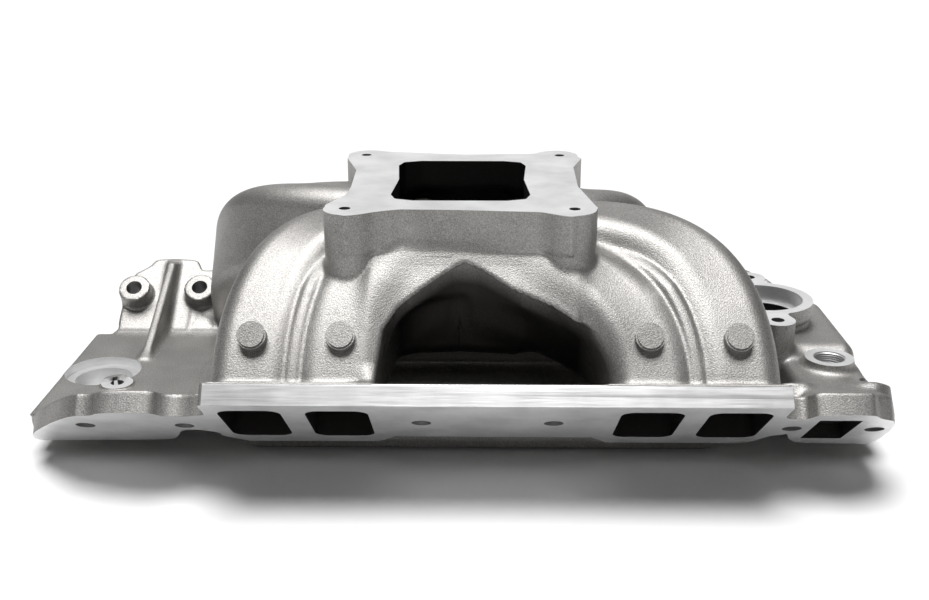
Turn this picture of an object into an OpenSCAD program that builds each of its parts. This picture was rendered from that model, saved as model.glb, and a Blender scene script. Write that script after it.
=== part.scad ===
// Single-plane intake manifold for a vee-eight engine, bare casting.
// Origin: centre of the carburettor pad on its machined face.
// +X towards the front of the engine, +Y towards the left bank, +Z up. Millimetres.

/* [Carburettor pad] */
// Stud spacing of the carburettor along the engine
stud_x = 131.06; // [130:0.02:132]
// Stud spacing of the carburettor across the engine
stud_y = 142.75; // [142:0.05:144]
// Radius of the tapped stud holes
stud_r = 3.3; // [3:0.1:3.6]
// Thickness of the machined pad
pad_t = 10; // [8:1:13]
// Carburettor opening along the engine
mouth_x = 83; // [78:1:86]
// Carburettor opening across the engine
mouth_y = 106; // [100:1:108]

/* [Plenum] */
// Depth of the plenum floor below the pad
plenum_z = 84; // [82:1:88]
// Thickness of the plenum walls and floor
plenum_wall = 7; // [6:0.5:8]
// Depth of the bottom of the stud bosses below the pad
boss_z = 38; // [34:1:40]

/* [Runners] */
// Port width at the head
port_w = 35.1; // [33:0.1:36]
// Port height at the head, along the sloping face
port_h = 60.5; // [56:0.5:61]
// Distance between the two ports of a pair
port_pitch = 48.6; // [48:0.1:50]
// Distance between the two pairs, twice the bore spacing
pair_pitch = 223.52; // [220:0.02:226]
// Distance of each bank's ports ahead of or behind the carburettor
stagger = 20.1; // [18:0.1:22]
// Runner width at the plenum
mouth_w = 36; // [34:0.5:36]
// Runner height at the plenum
mouth_h = 52; // [48:1:52]
// Thickness of the runner walls
wall = 5; // [4:0.5:5]

/* [Head flanges] */
// Slope of the head faces from the horizontal, degrees
face_angle = 37.9; // [37:0.1:39]
// Distance from the centreline to the top edge of the ports
face_y = 133.6; // [132:0.2:135]
// Depth of the top edge of the ports below the pad
face_z = 98.3; // [97:0.1:100]
// Thickness of the flanges, square to the face
flange_t = 13.5; // [12:0.5:14]
// Radius of the holes for the head bolts
bolt_r = 5.6; // [5:0.1:6]

/* [Ends] */
// Height of the end decks below the pad
deck_z = 130; // [129:1:131]
// Thickness of the end decks
deck_t = 8; // [6:1:9]
// Distance of the rear edge behind the carburettor
rear_x = 262; // [260:1:266]
// Distance of the front edge ahead of the carburettor
front_x = 256; // [253:1:260]
// Depth of the valley pan below the pad
pan_z = 155; // [152:1:158]
// Radius of the distributor bore
dist_r = 18.5; // [17:0.5:20]
// Radius of the thermostat bore
stat_r = 21; // [19:0.5:23]
// Half the spacing of the thermostat housing bolts
stat_bolt = 42.5; // [41:0.5:44]
// Radius of the tapped coolant outlet
outlet_r = 9.3; // [8.5:0.1:10]

/* [Hidden] */
$fn = 64;
eps = 0.01;
ca = cos(face_angle);
sa = sin(face_angle);

cast_grey = [0.62, 0.61, 0.59];
cut_silver = [0.82, 0.83, 0.84];

// Section data of the runners
corner_port = 8;
corner_mouth = 12;
rings = 9;
arc_pts = 4;

// Depth of the underside of the tower, and height of the middle of the runner mouths
tower_z = 20;
mouth_z = -51;

// Plan of the plenum: one quarter of the outline, outside and inside the walls
end_x = 58;
end_y = 46;
skew = [0.8, 0.6];
skew_len = 46;
side_x = end_x - skew_len * skew[1];
side_y = end_y + skew_len * skew[0];
notch_y = 66;
inner_x = end_x - plenum_wall;
notch_dir = unit([side_x, side_y - notch_y]);
inner_end_y = (skew * [end_x, end_y] - plenum_wall - skew[0] * inner_x) / skew[1];
inner_notch_y = notch_y - plenum_wall / notch_dir[0];
skew_reach = skew * [end_x, end_y] - plenum_wall;
notch_reach = notch_dir[0] * inner_notch_y;
inner_side_x = (skew_reach * notch_dir[0] - notch_reach * skew[1])
    / (skew[0] * notch_dir[0] + skew[1] * notch_dir[1]);
inner_side_y = (skew_reach - skew[0] * inner_side_x) / skew[1];
quarter_out = [[end_x, end_y], [side_x, side_y], [0, notch_y]];

// Right bank port positions along X, front to rear, which are cylinders 2, 4, 6 and 8
port_x = [for (side = [1, -1], k = [1, -1]) stagger + side * pair_pitch / 2 + k * port_pitch / 2];

// Head bolts of the right bank as [X, distance down the face]
end_bolts_rear = [[-215.7, 36.6], [-158.3, 36.6]];
end_bolts_front = [[190.6, 36.4], [238.1, 36.8]];
mid_bolts = [[-21.3, 26.9], [53.8, 26.6]];

// ---------- helpers ----------

// Point on the right bank: x along the face, s down it, t inwards from it, as [Y, Z]
function face_yz(s, t) = [-face_y + s * ca + t * sa, -face_z - s * sa + t * ca];
function face_pt(x, s, t) = [x, face_yz(s, t)[0], face_yz(s, t)[1]];
// Distance down the flange's inner side at height z
function s_at(z) = (-face_z + flange_t * ca - z) / sa;

function lerp(a, b, u) = a + (b - a) * u;
function unit(v) = v / norm(v);
function bezier(p, u) = pow(1 - u, 3) * p[0] + 3 * pow(1 - u, 2) * u * p[1]
    + 3 * (1 - u) * pow(u, 2) * p[2] + pow(u, 3) * p[3];

// Rounded rectangle as a ring of points
function ring2d(w, h, r) = [for (q = [0:3], k = [0:arc_pts - 1])
    let (a = 90 * q + 90 * k / (arc_pts - 1),
        sx = (q == 0 || q == 3) ? 1 : -1,
        sy = q < 2 ? 1 : -1)
    [sx * (w / 2 - r) + r * cos(a), sy * (h / 2 - r) + r * sin(a)]];

function slope(p, u) = unit(pow(1 - u, 2) * (p[1] - p[0]) + 2 * (1 - u) * u * (p[2] - p[1])
    + pow(u, 2) * (p[3] - p[2]));

// One section of a runner, square to its path and grown by g all round
function section(path, u, g) =
    let (c = bezier(path, u),
        t = slope(path, u),
        w = unit(cross(lerp([0, 0, 1], [0, -ca, sa], u), t)),
        h = cross(t, w),
        ring = ring2d(lerp(mouth_w, port_w, u) + 2 * g, lerp(mouth_h, port_h, u) + 2 * g,
            lerp(corner_mouth, corner_port, u) + g))
    [for (p = ring) c + p[0] * w + p[1] * h];

// Path of a right bank runner from its mouth in the plenum to the flange
function runner_path(x) =
    let (front = x > stagger ? 1 : -1,
        outer = abs(x - stagger) > pair_pitch / 2,
        start = outer ? [front * end_x, -end_y / 2, mouth_z]
            : [front * (end_x + side_x) / 2, -(end_y + side_y) / 2, mouth_z],
        way = outer ? [front, 0, 0] : [front * skew[0], -skew[1], 0],
        reach = outer ? (front > 0 ? 68 : 40) : (front > 0 ? 32 : 29),
        back = outer ? (front > 0 ? 68 : 55) : (front > 0 ? 42 : 31),
        end = face_pt(x, port_h / 2, flange_t))
    [start, start + reach * way, end + back * [0, sa, ca], end];

n_pts = 4 * arc_pts;
function band(base, flip) = [for (j = [0:rings - 2], i = [0:n_pts - 1])
    let (a = base + j * n_pts + i, b = base + j * n_pts + (i + 1) % n_pts)
    each flip ? [[a, b, a + n_pts], [b, b + n_pts, a + n_pts]]
        : [[a, a + n_pts, b], [b, a + n_pts, b + n_pts]]];
function rim(a0, b0, flip) = [for (i = [0:n_pts - 1])
    let (j = (i + 1) % n_pts)
    each flip ? [[a0 + i, b0 + i, a0 + j], [a0 + j, b0 + i, b0 + j]]
        : [[a0 + i, a0 + j, b0 + i], [a0 + j, b0 + j, b0 + i]]];

module runner_tube(x) {
    path = runner_path(x);
    pts = [for (g = [wall, 0], j = [0:rings - 1]) each section(path, j / (rings - 1), g)];
    inner = rings * n_pts;
    last = (rings - 1) * n_pts;
    polyhedron(points = pts, faces = concat(band(0, false), band(inner, true),
        rim(0, inner, false), rim(last, inner + last, true)), convexity = 6);
}

// A runner as a solid bar, which is what the stud bosses run into
module runner_solid(x) {
    path = runner_path(x);
    pts = [for (j = [0:rings - 1]) each section(path, j / (rings - 1), wall)];
    last = (rings - 1) * n_pts;
    polyhedron(points = pts, faces = concat(band(0, false),
        [[for (i = [0:n_pts - 1]) i]], [[for (i = [n_pts - 1:-1:0]) last + i]]), convexity = 4);
}

module rounded_rect(w, h, r) {
    square([w - 2 * r, h], center = true);
    square([w, h - 2 * r], center = true);
    for (i = [-1, 1], j = [-1, 1]) translate([i * (w / 2 - r), j * (h / 2 - r)]) circle(r);
}

// Draws 2D children, in [x, -s], as a plate of thickness t behind the right bank's face
module on_face(t, lift = 0) {
    translate([0, -face_y, -face_z]) rotate([180 - face_angle, 0, 0])
        translate([0, 0, -t - lift]) linear_extrude(t) children();
}

// Draws 2D children, in [Y, Z], as a slab from x0 to x1
module along_x(x0, x1) {
    translate([x0, 0, 0]) rotate([90, 0, 90]) linear_extrude(x1 - x0) children();
}

module left_bank() {
    rotate([0, 0, 180]) children();
}

module bolt_circles(bolts, r) {
    for (b = bolts) translate([b[0], -b[1]]) circle(r);
}

// ---------- carburettor pad and plenum ----------

// The quarter outline q, taken round all four quarters
module four_quarters(q) {
    last = len(q) - 1;
    polygon([for (p = q) p, for (i = [last - 1:-1:0]) [-q[i][0], q[i][1]],
        for (p = q) [-p[0], -p[1]], for (i = [last - 1:-1:0]) [q[i][0], -q[i][1]]]);
}

module pad_outline() {
    four_quarters([[71.5, 25], [80.8, 69], [61.5, 86.2], [36, 74.5], [0, 73.5]]);
    for (i = [-1, 1], j = [-1, 1]) translate([i * stud_x / 2, j * stud_y / 2]) circle(15.5);
}

module stud_holes() {
    for (i = [-1, 1], j = [-1, 1]) translate([i * stud_x / 2, j * stud_y / 2, -28])
        cylinder(r = stud_r, h = 28 + eps);
}

module carb_flange() {
    color(cut_silver) difference() {
        translate([0, 0, -pad_t]) linear_extrude(pad_t) difference() {
            pad_outline();
            rounded_rect(mouth_x, mouth_y, 14);
        }
        stud_holes();
    }
}

module plenum_tower() {
    color(cast_grey) difference() {
        translate([0, 0, -tower_z]) linear_extrude(tower_z - pad_t) difference() {
            pad_outline();
            rounded_rect(mouth_x + 4, mouth_y + 4, 16);
        }
        stud_holes();
    }
}

// The mouths of the runners of one bank, cut square through the plenum walls
module runner_mouths() {
    for (i = [0, 1]) mirror([i, 0, 0]) {
        translate([end_x - plenum_wall - 1, -end_y / 2, mouth_z]) rotate([0, 90, 0])
            linear_extrude(plenum_wall + 2) rounded_rect(mouth_h, mouth_w, corner_mouth);
        translate([(end_x + side_x) / 2, -(end_y + side_y) / 2, mouth_z])
            rotate([0, 0, -atan2(skew[1], skew[0])]) translate([-plenum_wall - 1, 0, 0])
                rotate([0, 90, 0]) linear_extrude(plenum_wall + 2)
                    rounded_rect(mouth_h, mouth_w, corner_mouth);
    }
}

// Corners of the plan of the plenum walls, outside and inside
corner_out = [end_x, end_y];
corner_in = [inner_x, inner_end_y];
side_out = [side_x, side_y];
side_in = [inner_side_x, inner_side_y];

// A wall of the plenum from its plan, pierced by the runner mouths
module plenum_wall_of(plan) {
    color(cast_grey) difference() {
        translate([0, 0, -plenum_z]) linear_extrude(plenum_z - tower_z) polygon(plan);
        runner_mouths();
        left_bank() runner_mouths();
    }
}

function flip_y(p) = [p[0], -p[1]];
function flip_x(p) = [-p[0], p[1]];

module plenum_end_wall() {
    plenum_wall_of([flip_y(corner_out), corner_out, corner_in, flip_y(corner_in)]);
}

// Wall across a corner of the plenum; way is 1 at the front right, -1 at the rear right
module plenum_skew_wall(way) {
    plan = [flip_y(corner_out), flip_y(side_out), flip_y(side_in), flip_y(corner_in)];
    plenum_wall_of(way > 0 ? plan : [for (p = plan) flip_x(p)]);
}

module plenum_side_wall() {
    plenum_wall_of([flip_y(side_out), [0, -notch_y], -side_out, -side_in, [0, -inner_notch_y],
        flip_y(side_in)]);
}

module plenum_floor() {
    color(cast_grey) translate([0, 0, -plenum_z - plenum_wall]) linear_extrude(plenum_wall)
        four_quarters(quarter_out);
}

// Boss under a corner of the pad, down to the runners
module stud_boss(front) {
    color(cast_grey) difference() {
        translate([front * stud_x / 2, -stud_y / 2, -boss_z])
            cylinder(r = 15, h = boss_z - tower_z);
        stud_holes();
        translate([0, 0, -plenum_z]) linear_extrude(plenum_z) four_quarters(quarter_out);
        for (k = front > 0 ? [0, 1] : [2, 3]) runner_solid(port_x[k]);
    }
}

// ---------- runners ----------

module runner(bank, k) {
    color(cast_grey) rotate([0, 0, bank]) {
        runner_tube(port_x[k]);
        runner_pad(port_x[k] + (k < 2 ? -5 : 2));
    }
}

// Round pad on the sloping roof of a runner
module runner_pad(x) {
    translate(face_pt(x, -9, flange_t + 26)) rotate([90 - face_angle, 0, 0])
        translate([0, 0, -9]) cylinder(r = 7.5, h = 9);
}

// ---------- head flanges ----------

module port_flange() {
    color(cut_silver) on_face(flange_t) difference() {
        polygon([[-141, -11], [-137.3, 12], [181, 12], [181, -60], [174, -72.6], [165, -76],
            [88, -76], [84, -69.6], [78, -62.3], [-38.5, -62.3], [-45.5, -72.2], [-50.5, -76],
            [-127.5, -76], [-131, -73.5], [-141, -62.7]]);
        for (x = port_x) translate([x, -port_h / 2]) rounded_rect(port_w, port_h, corner_port);
        bolt_circles(mid_bolts, bolt_r);
    }
}

module rear_end_2d() {
    difference() {
        polygon([[-256.5, -60], [-221, -14.2], [-207, -14.2], [-200.5, -6.5], [-171, -5.5],
            [-167, -13], [-157.5, -15.6], [-144.5, -11], [-141, -11], [-141, -62.7],
            [-149, -49], [-163, -49], [-168.3, -65], [-175.3, -74.7], [-243, -77],
            [-258, -79]]);
        bolt_circles(end_bolts_rear, bolt_r);
    }
}

module front_end_2d(port) {
    difference() {
        polygon([[181, -8], [184, -13.3], [194, -14], [196, -8.8], [199, -3.7], [228.3, -3.3],
            [231.7, -7.5], [234, -11], [248, -20], [249.3, -78.8], [235.4, -74.5],
            [203.5, -74.6], [199.6, -70.3], [194.6, -61.7], [191.7, -49.8], [181, -60]]);
        bolt_circles(end_bolts_front, bolt_r);
        if (port) translate([213.7, -38.7]) rounded_rect(24, 45, 3);
    }
}

module flange_front_end(port) {
    color(cast_grey) on_face(flange_t) front_end_2d(port);
}

module flange_rear_end(port) {
    color(cast_grey) on_face(flange_t) difference() {
        rear_end_2d();
        if (port) translate([-187, -40]) rounded_rect(24, 45, 3);
    }
}

// Raised bosses round the bolts on the inner side of a flange end
module bolt_bosses(bolts) {
    color(cast_grey) on_face(9.5, flange_t) difference() {
        bolt_circles(bolts, 10);
        bolt_circles(bolts, bolt_r);
    }
}

// Rib between the two runners of a pair
module pair_rib(front) {
    x = stagger + front * pair_pitch / 2;
    width = port_pitch - port_w - 2 * wall - 0.3;
    color(cast_grey) on_face(14, flange_t) translate([x - width / 2, -port_h])
        square([width, port_h + 11]);
}

// ---------- valley and ends ----------

// Where the inner side of the right flange meets the decks, and its foot, as [Y, Z]
inner_deck = face_yz(s_at(-deck_z), flange_t);
inner_foot = face_yz(76, flange_t);

pan_rear = -125;
pan_front = 150;
pan_t = 6;

module valley_pan() {
    y0 = -inner_foot[0];
    color(cast_grey) along_x(pan_rear, pan_front) polygon([inner_foot, [-y0 + 5, -pan_z + 5],
        [-y0 + 9, -pan_z], [y0 - 9, -pan_z], [y0 - 5, -pan_z + 5], [y0, inner_foot[1]],
        [-inner_deck[0], -deck_z], [y0 - 3, -deck_z], [y0 - 12, -pan_z + pan_t],
        [-y0 + 12, -pan_z + pan_t], [-y0 + 3, -deck_z], inner_deck]);
}

// Sloping end of the pan, up to the underside of the deck
module pan_ramp(x0, x1, way) {
    z1 = -deck_z - deck_t;
    color(cast_grey) rotate([90, 0, 0]) linear_extrude(108, center = true)
        polygon([[x0, -pan_z], [x1 + 7 * way, z1 - pan_t], [x1 + 7 * way, z1], [x1, z1],
            [x0, -pan_z + pan_t]]);
}

module deck_2d() {
    polygon([[inner_deck[0], -deck_z], [inner_foot[0], inner_foot[1]],
        [inner_foot[0], -deck_z - deck_t], [-inner_foot[0], -deck_z - deck_t],
        [-inner_foot[0], inner_foot[1]], [-inner_deck[0], -deck_z]]);
}

// Places of the distributor bore and of the hold-down thread beside it
dist_x = -237;
hold_x = -221;
hold_y = -23.5;
pad_r = 25.5;

module rear_deck() {
    color(cast_grey) difference() {
        along_x(-rear_x, -165) deck_2d();
        translate([dist_x, 0, -200]) cylinder(r = pad_r, h = 100);
        translate([hold_x, hold_y, -200]) cylinder(r = 10, h = 100);
    }
}

module front_deck() {
    color(cast_grey) along_x(185, front_x) deck_2d();
}

module end_rail(x0, x1) {
    color(cast_grey) difference() {
        along_x(x0, x1) translate([0, -deck_z - deck_t - 4])
            square([-2 * inner_foot[0], 8], center = true);
        translate([dist_x, 0, -200]) cylinder(r = pad_r, h = 100);
    }
}

module distributor_pad() {
    color(cut_silver) difference() {
        translate([dist_x, 0, -152]) cylinder(r = pad_r, h = 18);
        translate([dist_x, 0, -160]) cylinder(r = dist_r, h = 40);
        translate([hold_x, hold_y, -200]) cylinder(r = 10, h = 100);
    }
}

module hold_down_boss() {
    color(cut_silver) difference() {
        translate([hold_x, hold_y, -148]) cylinder(r = 10, h = 20);
        translate([hold_x, hold_y, -144]) cylinder(r = 4, h = 20);
    }
}

// Web from the left rear flange end down to the deck
module rear_gusset_rib() {
    top = face_yz(10, flange_t);
    color(cast_grey) along_x(-217.5, -211.5) polygon([[-top[0], top[1]],
        [-inner_deck[0], -deck_z], [22, -deck_z], [-top[0] - 6, top[1] + 2]]);
}

// ---------- cooling passages ----------

// Thermostat bore, top of its flange, top of the coolant outlet, and top of the crossover
stat_x = 193.7;
stat_z = -77;
outlet = [216, -64, -92];
cross_top = -100;

// Right bank's end of the crossover, from the flange down to the deck
module crossover_arm(x0, x1) {
    a = face_yz(10, flange_t);
    color(cast_grey) along_x(x0, x1) polygon([[a[0], a[1]], [inner_deck[0], -deck_z],
        [-46, -deck_z], [-46, cross_top], [-86, cross_top]]);
}

// Right bank's water passage through the crossover
module water_way(x0, x1) {
    a = face_yz(16.5, flange_t);
    b = face_yz(61, flange_t);
    along_x(x0, x1) polygon([[a[0] - 2, a[1]], [b[0] - 4, b[1]], [-30, b[1]],
        [-30, cross_top - 6], [-86, cross_top - 6]]);
}

module water_crossover() {
    color(cast_grey) difference() {
        union() {
            crossover_arm(196, 232);
            left_bank() crossover_arm(-206, -168);
            translate([168, -46, -deck_z]) cube([75, 92, cross_top + deck_z]);
        }
        water_way(201.7, 225.7);
        left_bank() water_way(-199, -175);
        translate([175, -40, -deck_z + 5]) cube([61, 80, cross_top + deck_z - 11]);
        translate([stat_x, 0, -110]) cylinder(r = stat_r - 3, h = 40);
        translate([outlet[0], outlet[1], -112]) cylinder(r = outlet_r, h = 30);
    }
}

// Thermostat flange: a round with an ear at each bolt
module stat_outline() {
    circle(30.5);
    for (j = [-1, 1]) {
        translate([0, j * stat_bolt]) circle(10.5);
        translate([0, j * 33]) square([21, 19], center = true);
    }
}

module thermostat_neck() {
    color(cast_grey) difference() {
        union() {
            translate([stat_x, 0, cross_top]) cylinder(r = 29, h = stat_z - 9 - cross_top);
            for (j = [-1, 1]) translate([stat_x, j * (stat_bolt - 8), cross_top])
                cylinder(r = 10, h = stat_z - 9 - cross_top);
        }
        translate([stat_x, 0, cross_top - 1]) cylinder(r = stat_r - 3, h = 30);
    }
}

module thermostat_flange() {
    color(cut_silver) difference() {
        translate([stat_x, 0, stat_z - 9]) linear_extrude(9) stat_outline();
        translate([stat_x, 0, stat_z - 10]) cylinder(r = stat_r, h = 12);
        for (j = [-1, 1]) translate([stat_x, j * stat_bolt, stat_z - 10]) cylinder(r = 4, h = 12);
    }
}

module coolant_outlet_boss() {
    color(cast_grey) difference() {
        translate([outlet[0], outlet[1], cross_top]) cylinder(r = 16, h = outlet[2] - cross_top);
        translate([outlet[0], outlet[1], cross_top - 1]) cylinder(r = outlet_r, h = 12);
    }
}

// ---------- drawing ----------

carb_flange();
plenum_tower();
plenum_end_wall();  // plenum_front_wall
left_bank() plenum_end_wall();  // plenum_rear_wall
plenum_skew_wall(1);  // right_front_plenum_wall
plenum_skew_wall(-1);  // right_rear_plenum_wall
left_bank() plenum_skew_wall(-1);  // left_front_plenum_wall
left_bank() plenum_skew_wall(1);  // left_rear_plenum_wall
plenum_side_wall();  // right_plenum_wall
left_bank() plenum_side_wall();  // left_plenum_wall
plenum_floor();
stud_boss(1);  // right_front_stud_boss
stud_boss(-1);  // right_rear_stud_boss
left_bank() stud_boss(-1);  // left_front_stud_boss
left_bank() stud_boss(1);  // left_rear_stud_boss
runner(180, 3);  // runner_1
runner(0, 0);  // runner_2
runner(180, 2);  // runner_3
runner(0, 1);  // runner_4
runner(180, 1);  // runner_5
runner(0, 2);  // runner_6
runner(180, 0);  // runner_7
runner(0, 3);  // runner_8
port_flange();  // right_port_flange
left_bank() port_flange();  // left_port_flange
flange_front_end(true);  // right_front_flange_end
flange_rear_end(false);  // right_rear_flange_end
left_bank() flange_rear_end(true);  // left_front_flange_end
left_bank() {  // left_rear_flange_end
    flange_front_end(false);
    bolt_bosses(end_bolts_front);
}
pair_rib(1);  // right_front_pair_rib
pair_rib(-1);  // right_rear_pair_rib
left_bank() pair_rib(-1);  // left_front_pair_rib
left_bank() pair_rib(1);  // left_rear_pair_rib
valley_pan();
pan_ramp(pan_front, 185, 1);  // front_pan_ramp
pan_ramp(pan_rear, -165, -1);  // rear_pan_ramp
front_deck();
rear_deck();
end_rail(front_x - 18, front_x);  // front_end_rail
end_rail(-rear_x, -rear_x + 18);  // rear_end_rail
distributor_pad();
hold_down_boss();
rear_gusset_rib();
water_crossover();
thermostat_neck();
thermostat_flange();
coolant_outlet_boss();
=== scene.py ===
import math
import bmesh
import bpy
import numpy as np
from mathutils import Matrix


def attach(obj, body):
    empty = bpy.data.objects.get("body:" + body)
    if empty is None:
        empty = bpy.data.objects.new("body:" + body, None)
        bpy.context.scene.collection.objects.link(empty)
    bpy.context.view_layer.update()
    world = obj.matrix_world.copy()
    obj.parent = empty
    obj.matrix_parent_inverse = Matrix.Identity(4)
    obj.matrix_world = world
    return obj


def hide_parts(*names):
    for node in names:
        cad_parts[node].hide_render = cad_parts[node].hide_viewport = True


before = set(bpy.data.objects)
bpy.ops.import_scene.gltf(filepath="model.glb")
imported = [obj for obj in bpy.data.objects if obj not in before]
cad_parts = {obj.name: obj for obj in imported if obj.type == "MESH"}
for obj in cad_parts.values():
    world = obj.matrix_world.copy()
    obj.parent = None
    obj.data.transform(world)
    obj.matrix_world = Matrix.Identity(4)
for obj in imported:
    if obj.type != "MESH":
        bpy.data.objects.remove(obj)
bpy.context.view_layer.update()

import openvdb as vdb
from mathutils import Matrix, Vector

STEP = 1.2
MM = 0.001

# ------------------------------------------------------------------ frame of the head faces
PHI = math.radians(37.9)
SA, CA = math.sin(PHI), math.cos(PHI)
FACE_Y, FACE_Z, FLANGE_T = 133.6, 98.3, 13.5


def face(x, s, t):
    """Point on the right bank in mm: x along the face, s down it from the ports' top edge, t inwards."""
    return np.array([x, -FACE_Y + s * CA + t * SA, -FACE_Z - s * SA + t * CA])


def face_st(y, z):
    """The inverse of face, for the two coordinates that aren't x."""
    return (y + FACE_Y) * CA - (z + FACE_Z) * SA, (y + FACE_Y) * SA + (z + FACE_Z) * CA


PORTS = (-116.02, -67.42, 107.5, 156.16)
CYLINDERS = dict(zip(PORTS, ((8, 1), (6, 3), (4, 5), (2, 7))))
INWARDS = np.array([0, SA, CA])
RIGHT, LEFT = BANKS = (0, 1)
SIDES = ("right", "left")

# ------------------------------------------------------------------ signed distance field
LO, HI = np.array([-270.0, -148.8, -163.2]), np.array([270.0, 148.8, 7.2])
N = np.round((HI - LO) / STEP).astype(int) + 1
AX = [(LO[i] + STEP * np.arange(N[i])).astype(np.float32) for i in range(3)]
FAR = 40.0


def window(lo, hi, margin):
    """Slices of the grid round a box, and their open coordinates."""
    sl = []
    for i in range(3):
        a = int(max(0, math.floor((lo[i] - margin - LO[i]) / STEP)))
        b = int(min(N[i], math.ceil((hi[i] + margin - LO[i]) / STEP) + 1))
        sl.append(slice(a, max(a, b)))
    x = AX[0][sl[0]][:, None, None]
    y = AX[1][sl[1]][None, :, None]
    z = AX[2][sl[2]][None, None, :]
    return tuple(sl), x, y, z


def smin(a, b, k):
    """The smaller of two distances, with the edge between them filleted over k mm."""
    if k <= 0:
        return np.minimum(a, b)
    h = np.maximum(k - np.abs(a - b), 0) / k
    return np.minimum(a, b) - h * h * (k / 4)


class Field:
    """A signed distance in mm on the whole grid."""
    def __init__(self):
        self.d = np.full(N, FAR, np.float32)

    def add(self, f, lo, hi, k=0.0, margin=12.0):
        w, x, y, z = window(lo, hi, margin)
        self.d[w] = smin(self.d[w], f(x, y, z), k)

    def cut(self, f, lo, hi, k=0.0, margin=4.0):
        w, x, y, z = window(lo, hi, margin)
        self.d[w] = -smin(-self.d[w], f(x, y, z), k)

    def turned(self):
        """The distances with right and left banks exchanged by half a turn."""
        return self.d[::-1, ::-1, :]


def box_sdf(lo, hi, r=0.0):
    c = [(a + b) / 2 for a, b in zip(lo, hi)]
    h = [(b - a) / 2 - r for a, b in zip(lo, hi)]

    def f(x, y, z):
        q = [np.abs(v - cc) - hh for v, cc, hh in zip((x, y, z), c, h)]
        out = np.sqrt(sum(np.maximum(v, 0) ** 2 for v in q))
        return out + np.minimum(np.maximum(np.maximum(q[0], q[1]), q[2]), 0) - r
    return f


def poly2(u, v, pts):
    """Signed distance to a polygon in the plane."""
    p = np.array(pts, np.float32)
    d = sign = None
    for i in range(len(p)):
        a, b = p[i], p[i - 1]
        ex, ey = b[0] - a[0], b[1] - a[1]
        wx, wy = u - a[0], v - a[1]
        t = np.clip((wx * ex + wy * ey) / (ex * ex + ey * ey), 0, 1)
        dd = (wx - ex * t) ** 2 + (wy - ey * t) ** 2
        d = dd if d is None else np.minimum(d, dd)
        c1, c2 = v >= a[1], v < b[1]
        c3 = ex * wy > ey * wx
        turn = np.where((c1 & c2 & c3) | (~c1 & ~c2 & ~c3), -1.0, 1.0)
        sign = turn if sign is None else sign * turn
    return (sign * np.sqrt(d)).astype(np.float32)


def slab(d2, w, r):
    """A flat shape from its outline distance d2 and its distance w past the two faces, edges rounded by r."""
    a, b = d2 + r, w + r
    return np.sqrt(np.maximum(a, 0) ** 2 + np.maximum(b, 0) ** 2) + np.minimum(np.maximum(a, b), 0) - r


def prism_sdf(pts, z0, z1, r=0.0):
    """An upright slab from its outline in [x, y]."""
    def f(x, y, z):
        d2 = poly2(x[:, :, 0], y[:, :, 0], pts)[:, :, None]
        return slab(d2, np.abs(z - (z0 + z1) / 2) - (z1 - z0) / 2, r)
    return f


def plate_sdf(pts, t0, t1, r=0.0):
    """A plate on the right bank from its outline in [x, s]."""
    def f(x, y, z):
        s, t = face_st(y, z)
        d2 = poly2(x, s, pts)
        return slab(d2, np.abs(t - (t0 + t1) / 2) - (t1 - t0) / 2, r)
    return f


def side_sdf(pts, x0, x1, r=0.0):
    """A slab along X from its outline in [y, z]."""
    def f(x, y, z):
        d2 = poly2(y[0], z[0], pts)[None]
        return slab(d2, np.abs(x - (x0 + x1) / 2) - (x1 - x0) / 2, r)
    return f


def profile_sdf(pts, y0, y1, r=0.0):
    """A slab along Y from its outline in [x, z]."""
    def f(x, y, z):
        d2 = poly2(x[:, 0], z[0], pts)[:, None, :]
        return slab(d2, np.abs(y - (y0 + y1) / 2) - (y1 - y0) / 2, r)
    return f


def cone_sdf(p0, p1, r0, r1, r=0.0):
    """A straight round boss from p0 to p1, which may taper, with its edges rounded by r."""
    p0, p1 = np.array(p0, float), np.array(p1, float)
    ln = np.linalg.norm(p1 - p0)
    a = (p1 - p0) / ln

    def f(x, y, z):
        t = (x - p0[0]) * a[0] + (y - p0[1]) * a[1] + (z - p0[2]) * a[2]
        rr = (x - p0[0]) ** 2 + (y - p0[1]) ** 2 + (z - p0[2]) ** 2 - t * t
        rad = np.sqrt(np.maximum(rr, 0))
        k = (r1 - r0) / ln
        d2 = (rad - (r0 + np.clip(t, 0, ln) * k)) / math.sqrt(1 + k * k)
        return slab(d2, np.abs(t - ln / 2) - ln / 2, r)
    return f


def bounds_of(*pts):
    p = np.array(pts)
    return p.min(0), p.max(0)


# ------------------------------------------------------------------ runners
PLENUM_MOUTH, PORT_SIZE = (42, 54), (35.1, 60.5)


def runner_path(x):
    """The four Bezier points of the runner that ends at the port x, from the plenum down to the face."""
    outer = x < -90 or x > 130
    front = 1 if x > 20 else -1
    end = face(x, 30.25, FLANGE_T)
    if outer:
        p0 = np.array([front * 54.0, -25.0, -42.0 if front > 0 else -45.0])
        reach, back = (74, 69) if front > 0 else (42, 62)
        p1 = p0 + reach * np.array([front, 0, 0.02])
    else:
        p0 = np.array([front * 24.0, -42.0, -52.0])
        reach, back = (34, 48) if front > 0 else (24, 56)
        p1 = p0 + reach * np.array([front * 0.86, -0.5, 0.0])
    return [p0, p1, end + back * INWARDS, end]


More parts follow.
